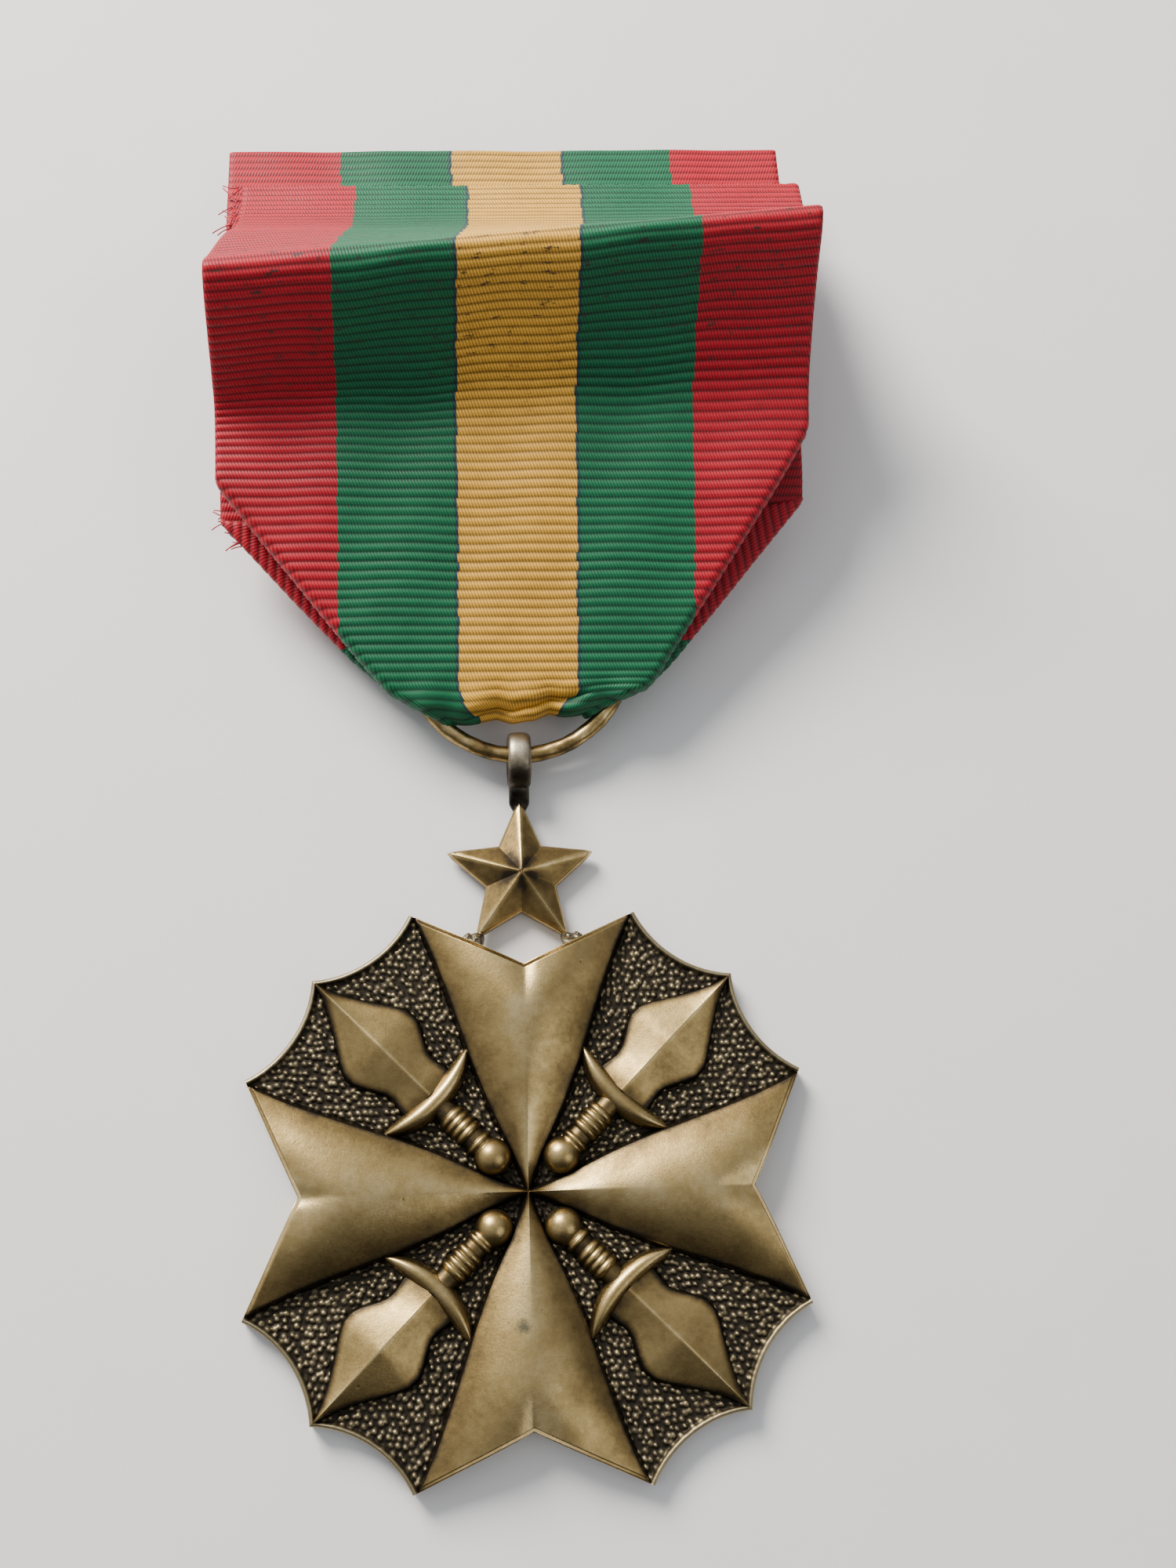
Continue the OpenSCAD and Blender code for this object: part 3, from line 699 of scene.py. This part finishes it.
def line_at(line, distance):
    """Points and directions of a middle line at distances along it, and its whole length."""
    run = np.concatenate([[0], np.cumsum(np.hypot(*np.diff(line, axis=0).T))])
    fine = np.arange(0, run[-1], 0.02)
    y, z = np.interp(fine, run, line[:, 0]), np.interp(fine, run, line[:, 1])
    dy, dz = np.gradient(y), np.gradient(z)
    size = np.hypot(dy, dz)
    out = [np.interp(distance, fine, value) for value in (y, z, dy / size, dz / size)]
    return out, run[-1]


LOOP_ANGLE = 54.5


def fold_angle(side, m):
    """Angle of the tucked edge: the two sides and the two layers differ a little."""
    front, back = (57.0, 50.5) if side > 0 else (51.5, 47.0)
    target = np.where(m >= 0, front, back)
    return np.radians(LOOP_ANGLE + (target - LOOP_ANGLE) * smooth(1.0, 5.0, np.abs(m)))


def two_sided(middle_points, half_thickness):
    """Cloth with two faces and an edge strip, from the grid of its middle surface."""
    rows, columns = half_thickness.shape
    normal = np.cross(np.gradient(middle_points, axis=1), np.gradient(middle_points, axis=0))
    normal /= np.maximum(np.linalg.norm(normal, axis=2), 1e-9)[..., None]
    out = normal * half_thickness[..., None]
    grid, count = grid_faces(rows, columns), rows * columns
    rim = (list(range(columns))
           + [r * columns + columns - 1 for r in range(1, rows)]
           + [(rows - 1) * columns + i for i in range(columns - 2, -1, -1)]
           + [r * columns for r in range(rows - 2, 0, -1)])
    faces = grid + [[corner + count for corner in face[::-1]] for face in grid]
    faces += [[a + count, b + count, b, a] for a, b in zip(rim, rim[1:] + rim[:1])]
    points = np.concatenate([(middle_points + out).reshape(-1, 3),
                             (middle_points - out).reshape(-1, 3)])
    return points, faces


def build_ribbon():
    """Folds the flat strip: u across it, m along it from the bottom of the loop (front positive).

    Returns the ribbon and the strip's flat width and length in metres.
    """
    front, back = strip_line(True, FRONT_LINE), strip_line(False, BACK_LINE)
    front_l, back_l = line_at(front, 0)[1], line_at(back, 0)[1]
    rows = int((front_l + back_l) / ROW_STEP)
    columns = int(2 * HALF_W / COLUMN_STEP)
    m_line = np.linspace(-back_l + 0.02, front_l - 0.02, rows)
    u, m = np.meshgrid(np.linspace(-HALF_W, HALF_W, columns), m_line)
    frayed = 0.22 * np.sin(u * 5.1) * np.sin(u * 1.7 + 1)
    m = m + frayed * smooth(3.0, 0.0, front_l - np.abs(m)) * (m > 0)
    # Each lower corner folds in along a slanting line: beyond is how far past that line
    side, over = np.sign(u), np.abs(u)
    corner = np.where(u > 0, 6.25, 6.05)
    angle = np.where(u > 0, fold_angle(1, m), fold_angle(-1, m))
    length = np.abs(m)
    beyond = (over - corner) * np.sin(angle) - length * np.cos(angle)
    radius = TUCK_DROP / 2
    bend = np.clip(beyond / radius, 0, math.pi)
    travel = radius * np.sin(bend) - np.maximum(beyond - math.pi * radius, 0) - np.maximum(beyond, 0)
    travel = np.where(beyond > 0, travel, 0)
    drop = radius * (1 - np.cos(bend))
    over = over + travel * np.sin(angle)
    length = np.maximum(length - travel * np.cos(angle), 0)
    upper = m >= 0
    y, z, dy, dz = [np.where(upper, *pair) for pair in zip(line_at(front, length)[0],
                                                           line_at(back, length)[0])]
    turn = np.where(upper, -1, 1)
    wave = 0.08 * np.sin(u * 0.42 + m * 0.21) + 0.05 * np.sin(u * 0.9 - m * 0.33 + 2)
    drop_all = drop + wave * smooth(4, 9, length) * (0.4 + 0.6 * smooth(19, 12, np.abs(u)))
    y = y + dz * turn * drop_all
    z = z + dy * turn * drop_all
    # The tucked corners meet in an inner crease between the two layers
    c, s = math.cos(RING_SLOPE), math.sin(RING_SLOPE)
    v = (y - WIRE_Y) * c + (z - HINGE_Z) * s
    w = -(y - WIRE_Y) * s + (z - HINGE_Z) * c
    inner = DRAPE_W - TUCK_DROP
    pinch = inner * np.sin(np.minimum(np.abs(m) / inner, math.pi / 2))
    tucked = smooth(0, math.pi * radius, beyond)
    pinched = w * (1 - tucked) + tucked * np.sign(w) * np.minimum(np.abs(w), pinch)
    w = np.where(tucked > 0, pinched, w)
    # The loop is gathered to fit the ring, and its lower edge is crumpled
    gather = 0.66 + 0.34 * smooth(0.4, 2.8, length)
    x = side * over * gather
    crumple = smooth(4.2, 0.8, length)
    arch, dip = np.exp(-((x - 1.0) / 2.1) ** 2), np.exp(-((x + 3.4) / 1.2) ** 2)
    sag = smooth(1.9, 0.5, np.abs(x - 0.3))
    v = v + crumple * (0.55 * arch - 0.25 * dip - 0.55 * sag + 0.75 * smooth(2.5, 6.0, x))
    lip = np.exp(-((length - 1.5 - 0.12 * x) / 0.42) ** 2)
    lip = lip * smooth(-4.2, -2.2, x) * smooth(5.0, 3.4, x)
    w = w - crumple * 0.16 * np.sin(x * 1.9 + 0.6) * turn - np.where(upper, 0.62 * lip, 0)
    y, z = on_ring_plane(v, w)
    # The upper end is sewn down a little to the right, and the folds lie a little askew
    x = x + 1.1 * smooth(31, 45, m)
    to_crown = smooth(15, 30, m) * 0.114 - smooth(31.5, 40, m) * 0.09
    to_end = smooth(20, 42, -m) * 0.024
    y = y + x * (to_crown + to_end)
    rib = 0.075 * np.sqrt(np.abs(np.cos(math.pi * m / RIB))) - 0.045
    edge = np.minimum(1, (HALF_W - np.abs(u)) / 0.25)
    thick = (CLOTH_T / 2) * (0.45 + 0.55 * np.sqrt(np.clip(edge, 0, 1))) + rib
    shape = Shape()
    shape.add(*two_sided(np.stack([x, y, z], -1), thick), 0.5)
    obj = shape.piece("folded_ribbon", None, ribbon_cloth(), "ribbon",
                      ["ribbon_ring_loop", "ribbon_front_drape", "ribbon_back_drape",
                       "ribbon_front_tucks", "ribbon_back_tucks", "ribbon_crown", "ribbon_tail"])
    weave = obj.data.uv_layers.new(name="weave")
    uv = np.stack([u, m], -1).reshape(-1, 2) / UV_SPAN + 0.5
    uv = np.concatenate([uv, uv])
    corners = np.empty(len(obj.data.loops), dtype=np.int32)
    obj.data.loops.foreach_get("vertex_index", corners)
    weave.data.foreach_set("uv", uv[corners].astype(np.float32).ravel())
    return obj, (2 * HALF_W * MM, (front_l + back_l) * MM)


STITCH_SHADE, SPECK = (0.02, 0.03, 0.07), (0.03, 0.02, 0.015)
RED, GREEN, GOLD = (0.48, 0.004, 0.018), (0.003, 0.135, 0.05), (0.80, 0.41, 0.045)


def ribbon_cloth():
    """Ribbed silk with five stripes: ribs across the ribbon, slanted threads on each rib."""
    s = Shader("ribbon")
    uv = s.tree.nodes.new("ShaderNodeUVMap")
    uv.uv_map = "weave"
    split = s.tree.nodes.new("ShaderNodeSeparateXYZ")
    s.put(split.inputs[0], uv.outputs[0])
    u, m = [s.math("MULTIPLY", s.math("SUBTRACT", part, 0.5), UV_SPAN) for part in split.outputs[:2]]
    phase = s.math("DIVIDE", m, RIB)
    index = s.math("FLOOR", s.math("ADD", phase, 0.5))
    chance = s.tree.nodes.new("ShaderNodeTexWhiteNoise")
    chance.noise_dimensions = "1D"
    s.put(chance.inputs["W"], index)
    jitter = s.span(chance.outputs["Value"], 0.0, 1.0, -0.09, 0.09)
    over = s.math("ABSOLUTE", s.math("ADD", u, jitter))
    colour = s.mix(s.math("GREATER_THAN", over, STRIPE / 2), GOLD, GREEN)
    colour = s.mix(s.math("GREATER_THAN", over, STRIPE * 1.5), colour, RED)
    joint = s.span(s.math("ABSOLUTE", s.math("SUBTRACT", over, 3.95)), 0.04, 0.16, 0.75, 0.0)
    colour = s.mix(joint, colour, STITCH_SHADE)
    # Distance from the top of a rib, 0 to 1 in the valley
    valley = s.math("MULTIPLY", s.math("PINGPONG", phase, 0.5), 2.0)
    slanted = s.math("ADD", u, s.math("MULTIPLY", m, 0.33))
    bead = s.span(s.math("SINE", s.math("MULTIPLY", slanted, 31.4)), -1.0, 1.0)
    # Painted shade: the stripe colours darken into each rib's valley and between the slanted
    # threads, with a painted highlight on the thread tops; random streaks and soil are multiplied in
    # below
    painted_shade_and_soil = s.math("MULTIPLY", s.span(valley, 0.45, 1.0, 1.0, 0.34),
                   s.span(bead, 0.0, 1.0, 0.5, 1.12))
    flat = s.tree.nodes.new("ShaderNodeCombineXYZ")
    s.put(flat.inputs[0], s.math("MULTIPLY", u, 0.4))
    s.put(flat.inputs[1], m)
    streak = s.noise(1.3, 4, 0.6, flat.outputs[0])
    soil = s.noise(0.16, 3, 0.5, flat.outputs[0])
    painted_shade_and_soil = s.math("MULTIPLY", painted_shade_and_soil, s.span(streak, 0.3, 0.7, 0.84, 1.1))
    painted_shade_and_soil = s.math("MULTIPLY", painted_shade_and_soil, s.span(soil, 0.35, 0.7, 1.03, 0.86))
    # The painted shade and highlight, the streaks and the soil darken the stripe colours
    colour = s.mix(1.0, colour, s.ramp(painted_shade_and_soil, [(0.0, (0, 0, 0)), (1.0, (1, 1, 1))]), "MULTIPLY")
    # Dark specks on the upper front
    specks = s.noise(2.1, 3, 0.7, flat.outputs[0])
    zone = s.math("MULTIPLY", s.span(m, 19.0, 27.0), s.span(m, 40.0, 34.0))
    specks = s.math("MULTIPLY", s.span(specks, 0.6, 0.66), zone)
    colour = s.mix(s.math("MULTIPLY", specks, 0.85), colour, SPECK)
    height = s.math("ADD", s.math("MULTIPLY", bead, 0.5), s.math("MULTIPLY", valley, -0.8))
    roughness = s.span(streak, 0.3, 0.7, 0.48, 0.62)
    return s.finish(colour, roughness, 0.0, s.bump(height, 0.6, 0.00004),
                    Sheen_Weight=0.05, Sheen_Roughness=0.4, Specular_IOR_Level=0.3)


def thread_end(shape, start, side):
    """One short loose end of warp thread, curling away from the cloth."""
    out = np.array([side * rng.uniform(0.4, 1.3), rng.uniform(-0.6, 0.8), rng.uniform(-0.5, 0.3)])
    sag = np.array([0, rng.uniform(-0.5, 0.5), rng.uniform(-0.5, 0.2)])
    t = np.linspace(0, 1, 9)[:, None]
    shape.add(*tube(np.array(start) + out * t + sag * t ** 2, 0.045, 5, 0.5, (0, 1, 0.2)))


def build_fray():
    """Loose thread ends at the upper part's sides and at the left corner of the back layer."""
    s = Shader("loose_thread")
    tint = s.mix(s.noise(3000, 2), RED, (0.3, 0.004, 0.012))
    material = s.finish(tint, 0.6, 0.0, s.bump(s.noise(9000, 2), 0.3, 0.00002))
    upper, lower = Shape(), Shape()
    edge_y = FLEX_Y + 22.1
    for _ in range(34):
        side = rng.choice([-1, -1, 1])
        y = edge_y - rng.uniform(0.2, 6.0)
        z = np.interp(y - edge_y, [-6.0, -2.6, 0], [9.3, 6.4, 4.9])
        x = side * (HALF_W - rng.uniform(0.2, 0.6)) + 0.5
        thread_end(upper, (x, y, z), side)
    corner_y, corner_z = on_ring_plane(15.4, -DRAPE_W)
    for _ in range(14):
        step = rng.uniform(-1.6, 0.9)
        start = (-HALF_W + 0.5 - min(step, 0) * 0.9, corner_y + step, corner_z + 0.2 * step)
        thread_end(lower, start, -1)
    return [upper.piece("frayed_threads", "ribbon_top", material, "ribbon", []),
            lower.piece("frayed_corner", "ribbon_drape", material, "ribbon", [])]


# ---- Finishes of the CAD parts that keep their shape ----
def plated(name, tones, gloss):
    """Plain metal with faint blotches, from three tones."""
    s = Shader(name)
    blotch, grain = s.noise(500, 5, 0.6), s.noise(5000, 4, 0.6)
    value = s.math("ADD", s.math("MULTIPLY", blotch, 0.75), s.math("MULTIPLY", grain, 0.25))
    colour = s.ramp(value, list(zip((0.3, 0.5, 0.7), tones)))
    roughness = s.span(value, 0.35, 0.65, 0.52 - gloss, 0.3 - gloss)
    return s.finish(colour, roughness, 1.0, s.bump(grain, 0.25, 0.00003))


def sewing_thread(name):
    """Red thread with a slanting twist."""
    s = Shader(name)
    twist = s.tree.nodes.new("ShaderNodeTexWave")
    twist.inputs["Scale"].default_value = 900
    twist.inputs["Distortion"].default_value = 2
    twist.bands_direction = "DIAGONAL"
    s.put(twist.inputs["Vector"], s.place)
    colour = s.mix(twist.outputs["Fac"], (0.25, 0.01, 0.02), (0.5, 0.02, 0.04))
    return s.finish(colour, 0.6, 0.0, s.bump(twist.outputs["Fac"], 0.5, 0.00005))


PLATED_BRASS = ((0.12, 0.085, 0.045), (0.4, 0.31, 0.16), (0.58, 0.47, 0.27))
STEEL = ((0.16, 0.15, 0.14), (0.42, 0.41, 0.39), (0.6, 0.59, 0.57))


def finish_cad_parts():
    brooch = plated("brooch_metal", PLATED_BRASS, 0.05)
    rivet, needle = plated("rivet_metal", STEEL, 0.08), plated("needle_steel", STEEL, 0.14)
    thread = sewing_thread("thread")
    finishes = {"brooch_bar": brooch, "pin_hinge": brooch, "pin_catch": brooch,
                "hinge_rivet": rivet, "pin_needle": needle,
                "closing_seam": thread, "brooch_stitches": thread}
    for node, material in finishes.items():
        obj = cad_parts[node]
        obj.data.materials.clear()
        obj.data.materials.append(material)


# ---- Floor, light and camera ----
FLOOR_SIZE, FLOOR_Z = 900.0, -0.03
PALE, PALER = (0.74, 0.72, 0.69), (0.79, 0.77, 0.74)


def build_stage():
    count = 60
    line = np.linspace(-FLOOR_SIZE / 2, FLOOR_SIZE / 2, count)
    x, y = np.meshgrid(line, line)
    s = Shader("pale_floor")
    floor = s.finish(s.mix(s.noise(120, 5), PALE, PALER), 0.8, 0.0)
    shape = Shape()
    shape.add(xyz(x, y, FLOOR_Z), grid_faces(count, count), 0.5)
    shape.piece("floor", None, floor, None, [])


def add_light(name, place, target, size, power, colour):
    """Round soft light at place, in metres, aimed at target."""
    data = bpy.data.lights.new(name, "AREA")
    data.shape, data.size, data.energy, data.color = "DISK", size, power, colour
    lamp = bpy.data.objects.new(name, data)
    lamp.location = place
    aim = Vector(target) - Vector(place)
    lamp.rotation_euler = aim.to_track_quat("-Z", "Y").to_euler()
    bpy.context.scene.collection.objects.link(lamp)


# Direction of the brighter side of the sky: up, left and toward the camera
SKY_WAY, SKY_COLOUR = (-0.42, 0.7, 0.58), (0.88, 0.92, 1.0, 1)


def add_lights():
    target = (0, 0, 0.003)
    add_light("key", (-0.17, 0.24, 0.22), target, 0.18, 3.3, (1.0, 0.97, 0.93))
    add_light("fill", (0.25, -0.15, 0.3), target, 0.3, 0.35, (0.95, 0.97, 1.0))
    world = bpy.data.worlds.new("studio")
    bpy.context.scene.world = world
    world.use_nodes = True
    nodes, links = world.node_tree.nodes, world.node_tree.links
    way, ramp = nodes.new("ShaderNodeTexCoord"), nodes.new("ShaderNodeMapRange")
    toward = nodes.new("ShaderNodeVectorMath")
    toward.operation = "DOT_PRODUCT"
    toward.inputs[1].default_value = SKY_WAY
    links.new(way.outputs["Generated"], toward.inputs[0])
    links.new(toward.outputs["Value"], ramp.inputs["Value"])
    for socket, number in zip(list(ramp.inputs)[1:5], (-0.1, 1.0, 0.06, 1.25)):
        socket.default_value = number
    back = nodes["Background"]
    back.inputs["Color"].default_value = SKY_COLOUR
    links.new(ramp.outputs["Result"], back.inputs["Strength"])


# The photograph's viewing angle, solved from the badge's outline and the ribbon's width
LENS, SENSOR = 42.70, 36.0
LOOK_WAY, UP_WAY = (0.08232, 0.24441, -0.96617), (0.01080, 0.96919, 0.24609)
CAMERA_PLACE = (-5.527, BADGE_Y - 3.816, 119.54)


def add_camera():
    data = bpy.data.cameras.new("camera")
    data.lens, data.sensor_width, data.sensor_fit = LENS, SENSOR, "AUTO"
    data.clip_start, data.clip_end = 0.005, 10
    camera = bpy.data.objects.new("camera", data)
    look = Vector(LOOK_WAY).normalized()
    right = look.cross(Vector(UP_WAY)).normalized()
    turn = Matrix((right, right.cross(look), -look)).transposed()
    place = Vector(CAMERA_PLACE) * MM
    camera.matrix_world = Matrix.Translation(place) @ turn.to_4x4()
    bpy.context.scene.collection.objects.link(camera)
    bpy.context.scene.camera = camera


# ---- Build ----
build_stage()
add_lights()
add_camera()
build_ground()
build_cross()
build_swords()
build_star()
build_solder()
build_eyelet()
build_ring()
ribbon, flat_size = build_ribbon()
fray = build_fray()
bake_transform(ribbon)
finish_cad_parts()
